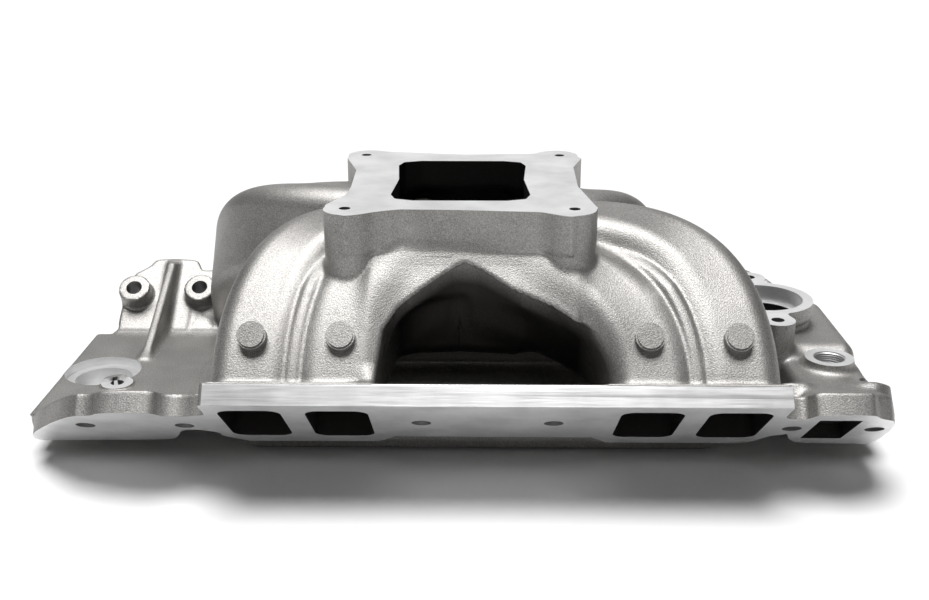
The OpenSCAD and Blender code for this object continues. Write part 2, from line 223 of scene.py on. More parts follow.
def frames(path, count, extra=0.0):
    """(centre, tangent, width, height, u) along the curve, which goes straight on for extra mm."""
    out = []
    for u in np.linspace(0, 1, count):
        c = ((1 - u) ** 3 * path[0] + 3 * (1 - u) ** 2 * u * path[1]
             + 3 * (1 - u) * u * u * path[2] + u ** 3 * path[3])
        t = (1 - u) ** 2 * (path[1] - path[0]) + 2 * (1 - u) * u * (path[2] - path[1]) \
            + u * u * (path[3] - path[2])
        t = t / np.linalg.norm(t)
        h = (1 - u) * np.array([0, 0, 1.0]) + u * np.array([0, -CA, SA])
        w = np.cross(h, t)
        w = w / np.linalg.norm(w)
        out.append((c, t, w, np.cross(t, w), u))
    if extra:
        c, t, w, h, u = out[-1]
        for i in range(1, int(extra / 3) + 2):
            out.append((c + t * 3 * i, t, w, h, u))
    return out


def sweep(frs, size, field, k, margin):
    """Sweeps the rounded section size(u) = (half width, half height, corner) along frs into field."""
    pts = np.array([fr[0] for fr in frs])
    lo, hi = pts.min(0) - 50, pts.max(0) + 50
    win, gx, gy, gz = window(lo, hi, margin)
    shape = (gx.shape[0], gy.shape[1], gz.shape[2])
    best = np.full(shape, 1e6, np.float32)
    val = np.full(shape, FAR, np.float32)
    base = [s.start for s in win]
    gap = np.linalg.norm(np.diff(pts, axis=0), axis=1)
    for j, (c, t, w, h, u) in enumerate(frs):
        a, b, r = size(u)
        near = 0.6 * max(gap[max(j - 1, 0)], gap[min(j, len(gap) - 1)]) + STEP
        if j in (0, len(frs) - 1):
            near += margin
        ext = np.abs(w) * (a + margin) + np.abs(h) * (b + margin) + np.abs(t) * near
        sub, x, y, z = window(c - ext, c + ext, 0)
        loc = tuple(slice(max(0, s.start - q), max(0, s.stop - q)) for s, q in zip(sub, base))
        dx, dy, dz = x - c[0], y - c[1], z - c[2]
        tt = dx * t[0] + dy * t[1] + dz * t[2]
        ww = np.abs(dx * w[0] + dy * w[1] + dz * w[2]) - (a - r)
        hh = np.abs(dx * h[0] + dy * h[1] + dz * h[2]) - (b - r)
        d2 = np.sqrt(np.maximum(ww, 0) ** 2 + np.maximum(hh, 0) ** 2) \
            + np.minimum(np.maximum(ww, hh), 0) - r
        cost = np.hypot(np.maximum(d2, 0), tt)
        over = np.zeros_like(tt)
        if j == 0:
            over = np.maximum(-tt, 0)
        if j == len(frs) - 1:
            over = np.maximum(tt, 0)
        v = np.where(over > 0, np.hypot(np.maximum(d2, 0), over), d2)
        bb, vv = best[loc], val[loc]
        m = cost < bb
        bb[m] = cost[m]
        vv[m] = v[m]
    field.d[win] = smin(field.d[win], val, k)


def tube_size(wall):
    """The passage's section along u, grown by a wall thickness."""
    def f(u):
        width = PLENUM_MOUTH[0] + (PORT_SIZE[0] - PLENUM_MOUTH[0]) * u
        height = PLENUM_MOUTH[1] + (PORT_SIZE[1] - PLENUM_MOUTH[1]) * u
        return width / 2 + wall, height / 2 + wall, 13 - 5 * u + wall * 0.9
    return f


# ------------------------------------------------------------------ outlines
PAD = [(-77.6, -64.1), (-64.5, -87.3), (-42.4, -76.7), (-34.1, -73.5), (0.1, -74.5), (45.4, -78.6),
       (62.9, -88.2), (78.7, -69), (71.3, -16.9), (72.4, 35.7), (79.9, 62.7), (66.8, 84.1),
       (52.8, 76.6), (-0.4, 73.1), (-63, 83.8), (-77.8, 62.3), (-68.2, 25.7), (-67, -20.4),
       (-67.7, -38.5)]
PLENUM = [(58, 46), (34, 70), (0, 66), (-34, 70), (-58, 46),
          (-58, -46), (-34, -70), (0, -66), (34, -70), (58, -46)]
MOUTH = [(-41.5, -39), (-38.5, -49), (-27.5, -53), (27.5, -53), (38.5, -49), (41.5, -39), (39, 0),
         (41.5, 39), (38.5, 49), (27.5, 53), (-27.5, 53), (-38.5, 49), (-41.5, 39), (-39, 0)]
# the port flange and its two ends, in [x, s]
BLOCK = [(-141, -11), (-137.3, -12.6), (181, -12.6), (181, 59), (174, 72.6), (165, 76), (88, 76),
         (84, 69.6), (78, 62.2), (-38.5, 62.2), (-45.5, 72.2), (-50.5, 75.6), (-127.4, 76.7),
         (-130.4, 73.5), (-141.4, 62.7)]
REAR_END = [(-256.3, 60), (-220.3, 14.2), (-206.3, 14.2), (-200.3, 6.6), (-171.3, 5.4), (-167.3, 13),
            (-157.3, 15.6), (-144.3, 10.7), (-130, 10), (-130, 62), (-149.3, 48.7), (-154.3, 46.5),
            (-163.3, 48.7), (-168.3, 65), (-175.3, 74.7), (-243.2, 77.1), (-258.2, 79.3)]
FRONT_END = [(170, 6), (183.9, 13.1), (193.8, 14.1), (195.9, 8.7), (198.9, 3.7), (228.3, 3.2),
             (231.7, 7.5), (233.7, 10.8), (247.6, 19.4), (249.3, 78.8), (235.4, 74.5), (203.5, 74.6),
             (199.6, 70.3), (194.6, 61.7), (191.7, 49.8), (189.7, 52), (170, 62)]
# the pocket between the inner runners, the skin above it and the solid that its depth of painted shade is
# measured in
POCKET_PLAN = [(-46, -140), (-46, -96), (-30, -82), (3, -62), (36, -78), (60, -84), (81, -92), (81, -140)]
POCKET_ARCH = [(-46, -140), (-45.5, -84), (-42, -61), (-34, -51), (-22, -43), (-8, -35), (3, -30),
               (14, -34), (29, -42), (52, -50), (74, -62), (80, -84), (81, -140)]
APRON = [(-66, -12), (-75, -22), (-82, -31), (-90, -40), (-105, -58), (-120, -76), (-134, -84),
         (-134, -98), (-90, -66), (-60, -44)]
BEHIND_APRON = [(-66, -22), (-75, -30), (-90, -48), (-105, -66), (-120, -82), (-131, -90),
                (-131, -140), (0, -140), (0, -22)]

# ------------------------------------------------------------------ places and sizes of the fittings
STUDS = [(i * 65.53, j * 71.375) for i in (-1, 1) for j in (-1, 1)]
BOLTS_REAR = [(-215.7, 36.7), (-158.3, 36.6)]
BOLTS_FRONT = [(190.8, 36.6), (238.2, 37.2)]
BOLTS_MID = [(-21.3, 26.9), (53.8, 26.5)]
DISTRIBUTOR, DISTRIBUTOR_SEAT = (-237, 0), -135.5
HOLD_DOWN, HOLD_DOWN_TOP = (-221, -23.5), -128.5
THERMOSTAT, THERMOSTAT_TOP = (193.7, 0), -77
THERMOSTAT_EARS = [(THERMOSTAT[0], j * 42.4) for j in (-1, 1)]
COOLANT, COOLANT_TOP = (221.3, -62), -93.5
VENT = (190, 62)
PLENUM_FLOOR, TOWER_Z = -92, -20
FLANGE_EDGE = 76
DECK_Z = -134
PAN_X = (-168, 188)


def softened(pts, rounds=2):
    """The outline with its corners cut back to curves."""
    for _ in range(rounds):
        sides = zip(pts, pts[1:] + pts[:1])
        pts = [(a[0] + (b[0] - a[0]) * u, a[1] + (b[1] - a[1]) * u) for a, b in sides for u in (0.25, 0.75)]
    return pts


# ------------------------------------------------------------------ shapes added to a field
def add_plate(f, pts, t0, t1, edge, k):
    """A plate on the right bank from its outline in [x, s]."""
    xs, ss = zip(*pts)
    corners = [face(x, s, t) for x in (min(xs), max(xs)) for s in (min(ss), max(ss)) for t in (t0, t1)]
    f.add(plate_sdf(pts, t0, t1, edge), *bounds_of(*corners), k=k)


def add_bar(f, pts, x0, x1, edge, k):
    """A bar along X from its section in [y, z]."""
    f.add(side_sdf(pts, x0, x1, edge), *bounds_of(*[(x, y, z) for x in (x0, x1) for y, z in pts]), k=k)


def add_prism(f, pts, z0, z1, edge, k):
    """An upright prism from its plan in [x, y]."""
    f.add(prism_sdf(pts, z0, z1, edge), *bounds_of(*[(x, y, z) for z in (z0, z1) for x, y in pts]), k=k)


def add_block(f, lo, hi, edge, k):
    f.add(box_sdf(lo, hi, edge), lo, hi, k=k)


def post_bounds(at, z0, z1, r):
    return (at[0] - r, at[1] - r, z0), (at[0] + r, at[1] + r, z1)


def add_post(f, at, z0, z1, r0, r1, edge, k):
    """An upright round post at (x, y), from radius r0 at z0 to r1 at z1."""
    f.add(cone_sdf((*at, z0), (*at, z1), r0, r1, edge), *post_bounds(at, z0, z1, max(r0, r1) + 1.5), k=k)


# ------------------------------------------------------------------ the casting
def mid_path(a, b):
    """The frames half way between two runners."""
    out = []
    for (c1, t1, w1, h1, u), (c2, t2, w2, h2, _) in zip(frames(a, 90), frames(b, 90)):
        t = t1 + t2
        t = t / np.linalg.norm(t)
        w = np.cross(h1 + h2, t)
        w = w / np.linalg.norm(w)
        out.append(((c1 + c2) / 2, t, w, np.cross(t, w), u))
    return out


def add_ridge(f, outer, inner):
    """The skin that joins a pair of runners, with a narrow ridge along its middle."""
    mid = mid_path(runner_path(outer), runner_path(inner))
    sweep(mid, lambda u: (22 - 12 * u, 17 + 13.5 * min(1, 1.6 * u), 6), f, 8.0, 12.0)
    sweep(mid, lambda u: (4.2, 17 + 17.0 * min(1, 1.6 * u), 3), f, 2.0, 6.0)


def pocket():
    """The hollow under the arch, between the inner runners."""
    g = Field()
    g.add(profile_sdf(POCKET_ARCH, -150, -66, 2.0), (-48, -150, -132), (84, -66, -30))
    plan = prism_sdf(POCKET_PLAN, -130, -20, 4.0)
    w, x, y, z = window((-50, -150, -132), (86, -64, -20), 6)
    g.d[w] = np.maximum(np.maximum(g.d[w], plan(x, y, z)), FLANGE_T - face_st(y, z)[1])
    return g


def right_bank():
    """Everything that the two banks have in common, on the right bank, and the same without its pocket,
    filled behind the apron, as the envelope that the painted shade's depth is measured in.
    """
    f = Field()
    for x in PORTS:
        sweep(frames(runner_path(x), 110), tube_size(5.0), f, 9.0, 16.0)
    add_ridge(f, PORTS[0], PORTS[1])
    add_ridge(f, PORTS[3], PORTS[2])
    add_bar(f, APRON, -52, 68, 3.0, 9.0)
    for pts in (BLOCK, softened(REAR_END), softened(FRONT_END)):
        add_plate(f, pts, -3, FLANGE_T, 1.6, 4.0)
    for x, s in BOLTS_FRONT:
        low, high = face(x, s, 6), face(x, s, 24.5)
        f.add(cone_sdf(low, high, 11.9, 11.2, 0.8), *bounds_of(low - 13, high + 13), k=2.5)
    # web behind the notch at each end of the port flange
    for x0, x1 in ((-168, -138), (178, 197)):
        add_plate(f, [(x0, 40), (x1, 40), (x1, 74), (x0, 74)], 7, FLANGE_T, 1.0, 3.0)
    full = Field()
    full.d = f.d.copy()
    # filled behind the apron so that the runners' undersides in there take painted shade
    add_bar(full, BEHIND_APRON, -50, 84, 0.0, 0.0)
    f.d = -smin(-f.d, pocket().d, 2.5)
    for x in PORTS[1:3]:
        sweep(frames(runner_path(x), 110), tube_size(4.6), f, 3.0, 6.0)
    return f, full


def add_tower(f):
    """Plenum, tower, carburettor pad and its stud columns."""
    add_prism(f, PLENUM, PLENUM_FLOOR, TOWER_Z, 8.0, 8.0)
    add_prism(f, PAD, -23, 4, 1.0, 4.0)
    for x, y in STUDS:
        add_post(f, (x * 0.968, y * 1.01), -45, 4, 13.8, 14.4, 1.0, 3.0)


def add_valley(f):
    """End decks, end rails, and the pan with its ramps and sides."""
    y0, y1 = -face(0, FLANGE_EDGE, FLANGE_T)[1], 70.9
    deck = [(-y1, -130), (-y0, -134.3), (-y0 + 2, -140), (y0 - 2, -140), (y0, -134.3), (y1, -130)]
    for x0, x1 in ((-262, -160), (180, 256)):
        add_bar(f, deck, x0, x1, 1.5, 6.0)
    for x0, x1 in ((-262, -244), (238, 256)):
        add_block(f, (x0, -y0, -146), (x1, y0, DECK_Z), 2, 4.0)
    x0, x1 = PAN_X
    pan = [(x0, -131), (x0, -142), (-125, -156), (150, -156), (x1, -142), (x1, -131), (148, -148),
           (-123, -148)]
    f.add(profile_sdf(pan, -60, 60, 2.0), (x0, -60, -156), (x1, 60, -131), k=6.0)
    for sg in (-1, 1):
        wall = [(72, -128), (64, -136), (60, -150), (55, -156), (50, -150), (58, -128)]
        add_bar(f, [(sg * y, z) for y, z in wall], -130, 155, 2.0, 6.0)
        side = [(50, -131), (79, -127), (79, -136), (50, -142)]
        add_bar(f, [(sg * y, z) for y, z in side], -170, 190, 1.5, 3.0)


def add_rear_fittings(f):
    """Distributor pad, hold-down boss and gusset rib."""
    add_post(f, DISTRIBUTOR, -150, -131, 25.5, 25.5, 1.0, 2.0)
    add_post(f, HOLD_DOWN, -148, -126, 11, 9.5, 1.0, 3.0)
    _, edge_y, edge_z = face(0, 8, FLANGE_T)
    rib = [(-edge_y, edge_z), (68, DECK_Z), (18, DECK_Z), (20, -129), (60, -112),
           (-edge_y - 8, edge_z + 3)]
    add_bar(f, rib, -218, -212, 1.5, 6.0)


def add_front_fittings(f):
    """Water crossover, thermostat neck and flange, coolant outlet and vent boss."""
    add_bar(f, [(-112, -97), (-72, DECK_Z), (50, DECK_Z), (50, -99), (-84, -99)], 196, 240, 5.0, 8.0)
    add_block(f, (172, -44, DECK_Z), (243, 44, -94), 8, 8.0)
    add_bar(f, [(66, -132), (-50, -132), (-50, -98), (84, -98), (114, -96)], 168, 206, 5.0, 8.0)
    add_post(f, THERMOSTAT, -104, -78, 30, 29, 2, 5.0)
    for x, y in THERMOSTAT_EARS:
        add_post(f, (x, y), -108, -74, 11.2, 10.6, 1.0, 2.0)
        web = math.copysign(34, y)
        add_block(f, (185, web - 10, -90), (202.4, web + 10, -74), 1, 2.0)
    add_post(f, THERMOSTAT, -87, -74, 31.5, 31.5, 1.0, 2.0)
    add_post(f, COOLANT, -124, -104, 25, 15, 2, 8.0)
    add_post(f, COOLANT, -108, -90, 15, 14.3, 1.5, 5.0)
    add_post(f, VENT, -104, -80, 13, 10, 1.0, 5.0)


def passages():
    """The runners' passages, the plenum's inside with four posts, and the mouth in the pad."""
    g = Field()
    for x in PORTS:
        sweep(frames(runner_path(x), 110, extra=20), tube_size(0.0), g, 0.0, 6.0)
    g.d = np.minimum(g.d, g.turned().copy())
    add_prism(g, [(x * 0.86, y * 0.87) for x, y in PLENUM], -84, TOWER_Z, 8.0, 8.0)
    for at in ((-27, 55), (39, 55), (27, -55), (-39, -55)):
        pillar = cone_sdf((*at, -86), (*at, -26), 6.5, 6.5, 3)
        g.cut(pillar, *post_bounds(at, -86, -26, 8), k=5.0)
    add_prism(g, MOUTH, -34, 10, 0.5, 4.0)
    return g


def casting():
    """The casting's field, the field of its solid envelope, which sets the depth of the painted shade, and
    the field of its passages.
    """
    f, full = right_bank()
    f.d = smin(f.d, f.turned().copy(), 10.0)
    full.d = np.minimum(full.d, full.turned().copy())
    add_tower(f)
    add_valley(f)
    add_rear_fittings(f)
    add_front_fittings(f)
    g = passages()
    # the plenum and the pad's mouth fill the envelope, so the plenum's inside takes painted shade too
    full.d = np.minimum(full.d, f.d)
    add_prism(full, PAD, -60, 4, 0.0, 0.0)
    add_prism(full, PLENUM, PLENUM_FLOOR, TOWER_Z, 0.0, 0.0)
    f.d = np.maximum(f.d, -g.d)
    return f, full.d, g.d


def mesh_of(f):
    """The closed mesh of the field's zero surface, in metres."""
    grid = vdb.FloatGrid(FAR)
    grid.copyFromArray(np.ascontiguousarray(f.d))
    pts, tris, quads = grid.convertToPolygons(0.0, 0.0)
    pts = (pts * STEP + LO) * MM
    me = bpy.data.meshes.new("casting")
    nt, nq = len(tris), len(quads)
    me.vertices.add(len(pts))
    me.vertices.foreach_set("co", pts.astype(np.float32).ravel())
    loops = np.concatenate([tris.ravel(), quads.ravel()]).astype(np.int32)
    starts = np.concatenate([np.arange(nt) * 3, nt * 3 + np.arange(nq) * 4]).astype(np.int32)
    me.loops.add(len(loops))
    me.loops.foreach_set("vertex_index", loops)
    me.polygons.add(nt + nq)
    me.polygons.foreach_set("loop_start", starts)
    me.update(calc_edges=True)
    me.validate()
    bm = bmesh.new()
    bm.from_mesh(me)
    if bm.calc_volume(signed=True) < 0:
        bmesh.ops.reverse_faces(bm, faces=bm.faces)
    bm.to_mesh(me)
    bm.free()
    return me


# ------------------------------------------------------------------ materials
def blank_material(name):
    m = bpy.data.materials.new(name)
    m.use_nodes = True
    return m, m.node_tree, m.node_tree.nodes["Principled BSDF"]


def node(tree, kind, **inputs):
    """A new shader node; an underscore in an input's name stands for a space."""
    n = tree.nodes.new("ShaderNode" + kind)
    for key, value in inputs.items():
        n.inputs[key.replace("_", " ")].default_value = value
    return n


def multiplied(tree, source, factor):
    """The output source times a constant."""
    n = node(tree, "Math")
    n.operation = "MULTIPLY"
    n.inputs[1].default_value = factor
    tree.links.new(source, n.inputs[0])
    return n.outputs[0]


def bumped(tree, source, surface, strength, depth):
    """Height from the output source on the surface's normal."""
    bump = node(tree, "Bump", Strength=strength, Distance=depth)
    tree.links.new(source, bump.inputs["Height"])
    tree.links.new(bump.outputs[0], surface.inputs["Normal"])


def cast_material(name, base, bright):
    """Sand-cast aluminium between two grey levels, painted dark as shade where the attribute shade says."""
    m, tree, surface = blank_material(name)
    link = tree.links.new
    place = node(tree, "TexCoord").outputs["Object"]
    grain = node(tree, "TexNoise", Scale=1300, Detail=3)
    blotch = node(tree, "TexNoise", Scale=28, Detail=4)
    link(place, grain.inputs["Vector"])
    link(place, blotch.inputs["Vector"])
    both = node(tree, "Math")
    both.operation = "MULTIPLY_ADD"
    both.inputs[1].default_value = 0.7
    link(grain.outputs["Fac"], both.inputs[0])
    link(multiplied(tree, blotch.outputs["Fac"], 0.3), both.inputs[2])
    level = node(tree, "MapRange", From_Min=0.3, From_Max=0.7, To_Min=base, To_Max=bright)
    link(both.outputs[0], level.inputs["Value"])
    warm = node(tree, "CombineColor")
    for i, share in enumerate(WARM_GREY):
        link(multiplied(tree, level.outputs[0], share), warm.inputs[i])
    # painted shade: the colour is mixed towards DEEP_SHADE as far as the shade attribute says
    shade = node(tree, "Attribute")
    shade.attribute_name = "shade"
    dim = node(tree, "Mix")
    dim.data_type = "RGBA"
    factor, light, dark = dim.inputs[0], dim.inputs[6], dim.inputs[7]
    dark.default_value = DEEP_SHADE
    link(shade.outputs["Fac"], factor)
    link(warm.outputs[0], light)
    link(dim.outputs[2], surface.inputs["Base Color"])
    bumped(tree, grain.outputs["Fac"], surface, 0.45, 0.0005)
    surface.inputs["Metallic"].default_value = 0.85
    surface.inputs["Roughness"].default_value = 0.5
    return m


def cut_material(name, base):
    """Machined aluminium: fine lines along X, slow stains and uneven gloss."""
    m, tree, surface = blank_material(name)
    link = tree.links.new
    place = node(tree, "TexCoord").outputs["Object"]
    stretched = node(tree, "Mapping", Scale=(25, 500, 500))
    lines = node(tree, "TexNoise", Scale=1.5)
    stains = node(tree, "TexNoise", Scale=35, Detail=5)
    level = node(tree, "MapRange", From_Min=0.35, From_Max=0.65, To_Min=base * 0.8, To_Max=base)
    gloss = node(tree, "MapRange", To_Min=0.28, To_Max=0.5)
    link(place, stains.inputs["Vector"])
    link(stains.outputs["Fac"], level.inputs["Value"])
    link(level.outputs[0], surface.inputs["Base Color"])
    link(place, stretched.inputs["Vector"])
    link(stretched.outputs[0], lines.inputs["Vector"])
    link(lines.outputs["Fac"], gloss.inputs["Value"])
    link(gloss.outputs[0], surface.inputs["Roughness"])
    bumped(tree, lines.outputs["Fac"], surface, 0.25, 0.0002)
    surface.inputs["Metallic"].default_value = 0.78
    return m


WARM_GREY = (1.0, 0.975, 0.94)
# the near-black colour of the painted shade in recesses and passages
DEEP_SHADE = (0.035, 0.033, 0.031, 1)
# the last finish is cast metal painted near black: painted shade inside the ports and necks it lines
FINISHES = (cast_material("as_cast", 0.19, 0.5), cut_material("machined", 1.0),
            cut_material("bored", 0.3), cast_material("as_cast_painted_shade", 0.02, 0.06))
AS_CAST, MACHINED, BORED, PAINTED_SHADE = range(4)


# ------------------------------------------------------------------ cutters
def add_object(name, data):
    o = bpy.data.objects.new(name, data)
    bpy.context.scene.collection.objects.link(o)
    return o


def block_mesh(placed, lo, hi):
    """A block from lo to hi, with each corner put where placed says."""
    bm = bmesh.new()
    corners = [(x, y, z) for x in (lo[0], hi[0]) for y in (lo[1], hi[1]) for z in (lo[2], hi[2])]
    vs = [bm.verts.new(Vector(placed(*c)) * MM) for c in corners]
    for q in ((0, 1, 3, 2), (4, 6, 7, 5), (0, 4, 5, 1), (2, 3, 7, 6), (0, 2, 6, 4), (1, 5, 7, 3)):
        bm.faces.new([vs[i] for i in q])
    return bm


def drill(bm, a, b, r, seg=64):
    """A round cutter from a to b in mm."""
    a, b = Vector(a) * MM, Vector(b) * MM
    q = (b - a).to_track_quat("Z", "Y").to_matrix().to_4x4()
    bmesh.ops.create_cone(bm, cap_ends=True, segments=seg, radius1=r * MM, radius2=r * MM,
                          depth=(b - a).length, matrix=Matrix.Translation((a + b) / 2) @ q)


def bore(bm, at, z0, z1, r, seg=64):
    """An upright round cutter at (x, y)."""
    drill(bm, (*at, z0), (*at, z1), r, seg)


def lathe(bm, at, profile, seg=48):
    """A closed turned solid about the upright line at, from its (radius, z) profile in mm."""
    turn = [2 * math.pi * i / seg for i in range(seg)]
    rings = []
    for r, z in profile:
        ring = [(at[0] + r * math.cos(a), at[1] + r * math.sin(a), z) for a in turn]
        rings.append([bm.verts.new([v * MM for v in p]) for p in ring])
    for a, b in zip(rings, rings[1:]):
        for i in range(seg):
            j = (i + 1) % seg
            bm.faces.new((a[i], a[j], b[j], b[i]))
    bm.faces.new(rings[0][::-1])
    bm.faces.new(rings[-1])


def turned_pt(v, bank):
    """The point on the right bank, or its turned copy on the left."""
    return (v[0], v[1], v[2]) if bank == RIGHT else (-v[0], -v[1], v[2])


def face_block(bank, lo, hi):
    """A block in face coordinates (x, s, t), on the right bank or turned to the left."""
    return block_mesh(lambda x, s, t: turned_pt(face(x, s, t), bank), lo, hi)


def plain_block(lo, hi):
    return block_mesh(lambda x, y, z: (x, y, z), lo, hi)


def rod(a, b, r):
    bm = bmesh.new()
    drill(bm, a, b, r)
    return bm


def post(at, z0, z1, r):
    return rod((*at, z0), (*at, z1), r)


def column(pts, z0, z1):
    """An upright prism from its plan in mm."""
    bm = bmesh.new()
    low = [bm.verts.new((x * MM, y * MM, z0 * MM)) for x, y in pts]
    top = [bm.verts.new((x * MM, y * MM, z1 * MM)) for x, y in pts]
    n = len(pts)
    for i in range(n):
        bm.faces.new((low[i], low[(i + 1) % n], top[(i + 1) % n], top[i]))
    bm.faces.new(low[::-1])
    bm.faces.new(top)
    return bm


def spot_faces():
    """The flat tops of the fittings."""
    bm = bmesh.new()
    # known fault: this cutter is wide enough to open runner 2's wall too, between z = -77 and -60
    bore(bm, THERMOSTAT, THERMOSTAT_TOP, -60, 60)
    bore(bm, DISTRIBUTOR, DISTRIBUTOR_SEAT, -120, 24.6)
    bore(bm, HOLD_DOWN, HOLD_DOWN_TOP, -110, 12, 32)
    bore(bm, COOLANT, COOLANT_TOP, -80, 20, 48)
    return bm


def turned_bores():
    """Thermostat and distributor bores, and the coolant outlet's thread as plain grooves."""
    bm = bmesh.new()
    bore(bm, THERMOSTAT, -88, -70, 25)
    bore(bm, DISTRIBUTOR, -165, -133, 18.5)
    lathe(bm, COOLANT, [(8.9 + 1.2 * (i % 2), -110 + 0.7 * i) for i in range(26)])
    return bm


def small_holes():
    bm = bmesh.new()
    for at in STUDS:
        bore(bm, at, -26, 5, 3.3, 32)
    for bank in BANKS:
        for x, s in BOLTS_REAR + BOLTS_FRONT + BOLTS_MID:
            drill(bm, turned_pt(face(x, s, -8), bank), turned_pt(face(x, s, 32), bank), 5.6, 40)
    for at in THERMOSTAT_EARS:
        bore(bm, at, -100, -76, 4, 32)
    bore(bm, HOLD_DOWN, -144, -120, 4.2, 32)
    bore(bm, VENT, -96, -70, 5, 32)
    return bm


def cutters():
    """Everything that is cut to a clean surface, as (mesh, finish index)."""
    made = [(plain_block((-100, -110, 0), (100, 110, 30)), MACHINED)]
    for bank in BANKS:
        made.append((face_block(bank, (-300, -60, -40), (300, 120, 0)), MACHINED))
        made.append((face_block(bank, (-141.5, -30, -10), (181.5, -12, 12.2)), MACHINED))
    made += [(spot_faces(), MACHINED), (turned_bores(), MACHINED), (small_holes(), BORED)]
    # the walls that these cut get the near-black painted shade
    made += [(post(THERMOSTAT, -108, -87, 22), PAINTED_SHADE), (post(COOLANT, -116, -109, 8), PAINTED_SHADE)]
    # water ports at the right bank's front and the left bank's far end
    made.append((face_block(RIGHT, (201.8, 16.3, -5), (225.6, 61.2, 9)), PAINTED_SHADE))
    made.append((face_block(LEFT, (-199, 17, -5), (-175, 61, 9)), PAINTED_SHADE))
    return made


CAST_SLOT, CUT_SLOT = "cast_aluminium", "machined_aluminium"
CRUMB_SHARE = 0.02
# in mm, for the painted shade: where a surface inside the solid starts to be painted dark, over what depth it
# does, how near a passage's wall counts as inside it, and how soon that fades
SHADE_START, SHADE_DEPTH, PASSAGE_REACH, PASSAGE_FADE = 2.5, 13, 2.4, 0.8
SHARP_ANGLE = math.radians(38)


def boolean(obj, bm, mode, finish, keep=False):
    """The mesh of obj joined with bm by the mode; the new faces take the finish index."""
    me = bpy.data.meshes.new("cutter")
    bmesh.ops.recalc_face_normals(bm, faces=bm.faces)
    bm.to_mesh(me)
    if not keep:
        bm.free()
    for m in FINISHES:
        me.materials.append(m)
    me.polygons.foreach_set("material_index", np.full(len(me.polygons), finish, np.int32))
    c = add_object("cutter", me)
    mod = obj.modifiers.new("cut", "BOOLEAN")
    mod.operation = mode
    mod.solver = "MANIFOLD"
    mod.object = c
    new = bpy.data.meshes.new_from_object(obj.evaluated_get(bpy.context.evaluated_depsgraph_get()))
    obj.modifiers.clear()
    bpy.data.objects.remove(c)
    bpy.data.meshes.remove(me)
    return new


def swap(obj, new):
    """Gives obj its new mesh and drops the old one."""
    old = obj.data
    obj.data = new
    bpy.data.meshes.remove(old)


def take(rest, name, bm, *nodes, slot=CAST_SLOT):
    """Splits the part of rest inside bm off as a named piece that stands for the nodes."""
    piece = add_object(name, boolean(rest, bm, "INTERSECT", AS_CAST, keep=True))
    swap(rest, boolean(rest, bm, "DIFFERENCE", AS_CAST))
    finish_piece(piece, nodes)


def sample(grid, points):
    """Value of a grid at each point, in mm."""
    q = (points / MM - LO) / STEP
    i0 = np.clip(np.floor(q).astype(int), 0, N - 2)
    u = q - i0
    out = 0
    for c in np.ndindex(2, 2, 2):
        w = np.prod(np.where(c, u, 1 - u), axis=1)
        out = out + w * grid[i0[:, 0] + c[0], i0[:, 1] + c[1], i0[:, 2] + c[2]]
    return out


def drop_crumbs(me):
    """Removes the loose parts that have under CRUMB_SHARE of the largest part's vertices."""
    n = len(me.vertices)
    edges = np.empty(len(me.edges) * 2, np.int32)
    me.edges.foreach_get("vertices", edges)
    a, b = edges.reshape(-1, 2).T
    label = np.arange(n)
    while True:
        low = np.minimum(label[a], label[b])
        new = label.copy()
        np.minimum.at(new, a, low)
        np.minimum.at(new, b, low)
        new = new[new]
        if (new == label).all():
            break
        label = new
    count = np.bincount(label, minlength=n)
    small = np.nonzero(count[label] < CRUMB_SHARE * count.max())[0]
    if len(small):
        bm = bmesh.new()
        bm.from_mesh(me)
        bm.verts.ensure_lookup_table()
        bmesh.ops.delete(bm, geom=[bm.verts[i] for i in small], context="VERTS")
        bm.to_mesh(me)
        bm.free()


def finish_piece(piece, nodes):
    me = piece.data
    drop_crumbs(me)
    co = np.empty(len(me.vertices) * 3, np.float32)
    me.vertices.foreach_get("co", co)
    # painted shade: a surface deep inside the solid envelope, or on a passage's wall, gets a shade value that
    # darkens its colour
    shade = me.attributes.new("shade", "FLOAT", "POINT")
    co = co.reshape(-1, 3)
    deep = np.clip((-sample(full, co) - SHADE_START) / SHADE_DEPTH, 0, 1)
    passage = np.clip((PASSAGE_REACH - np.abs(sample(hollow, co))) / PASSAGE_FADE, 0, 1)
    shade.data.foreach_set("value", np.maximum(deep, passage).astype(np.float32))
    me.set_sharp_from_angle(angle=SHARP_ANGLE)
    me.polygons.foreach_set("use_smooth", np.ones(len(me.polygons), bool))
    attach(piece, "root")
    if nodes:
        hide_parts(*nodes)


# ------------------------------------------------------------------ named pieces
FRONT_REAR = {1: "front", -1: "rear"}
CELL_T = 15.2
LOW_Z, FLOOR_TOP = -170, -127
PAD_SHIFT = dict(zip(PORTS, (1.5, 2, -2, -1.5)))


def take_tower(rest):
    """Carburettor flange, tower, stud columns and plenum."""
    take(rest, "carburettor_flange", plain_block((-84, -92, -10), (84, 92, 20)), "carb_flange",
         slot=CUT_SLOT)
    take(rest, "tower", column([(x * 1.06, y * 1.06) for x, y in PAD], -27, -10), "plenum_tower")
    for x, y in STUDS:
        corner = ("right_" if y < 0 else "left_") + FRONT_REAR[1 if x > 0 else -1]
        take(rest, corner + "_stud_column", post((x, y), -48, -27, 17), corner + "_stud_boss")
    take(rest, "plenum_bottom", column(PLENUM, -94, -87), "plenum_floor")
    walls = [side + end + "_plenum_wall" for side in SIDES for end in ("", "_front", "_rear")]
    take(rest, "plenum_chamber", column(PLENUM, -87, -26), "plenum_front_wall", "plenum_rear_wall", *walls)


